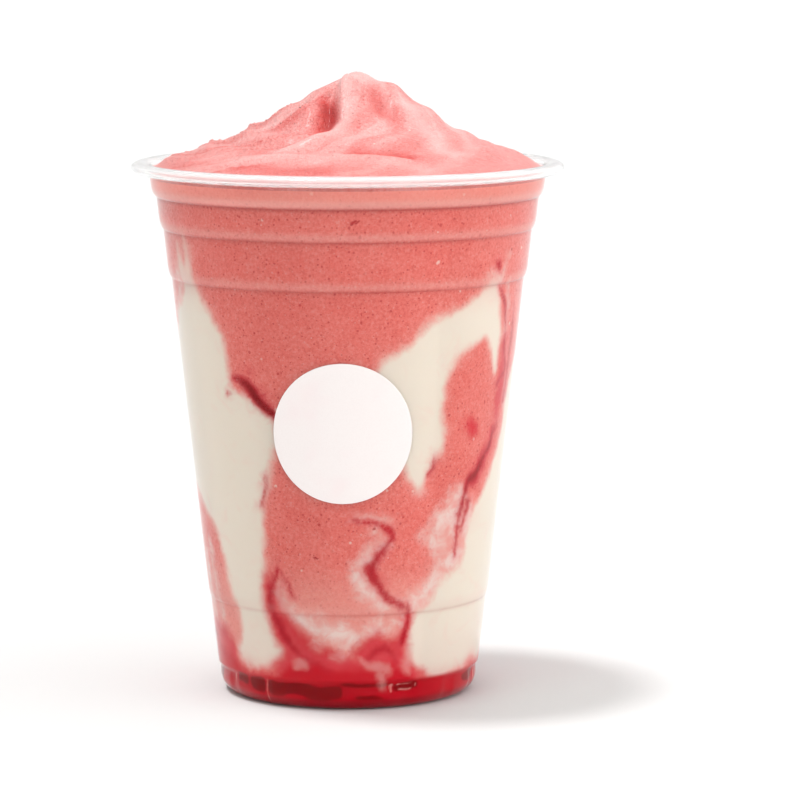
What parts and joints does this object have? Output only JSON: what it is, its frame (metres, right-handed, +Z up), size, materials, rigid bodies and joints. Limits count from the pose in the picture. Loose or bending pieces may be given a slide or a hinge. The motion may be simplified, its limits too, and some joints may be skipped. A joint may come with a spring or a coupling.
{
  "type": "strawberry smoothie in a clear cup",
  "caption": "Blended strawberry drink heaped above the rim of a clear tapered cup, with bands of yoghurt against the wall, dark syrup in the foot and a round bare label.",
  "frame": {"origin": "middle of the cup's foot, on the surface that it stands on", "axes": "+Z up along the cup's axis, -Y towards the front with the label, +X to the right seen from the front"},
  "size_m": [0.0992, 0.0992, 0.1431],
  "materials": {
    "clear_plastic": "clear, thin, glossy moulded plastic",
    "label_paper": "smooth white sticker paper",
    "smoothie": "thick pink blended fruit, moist, finely speckled",
    "yoghurt": "smooth cream yoghurt, moist",
    "syrup": "dark red fruit syrup, wet"
  },
  "bodies": {
    "root": {"cup": "clear_plastic", "label": "label_paper", "smoothie": "smoothie", "yoghurt_left": "yoghurt", "yoghurt_right": "yoghurt", "yoghurt_side": "yoghurt", "yoghurt_back": "yoghurt", "syrup": "syrup"}
  },
  "joints": []
}
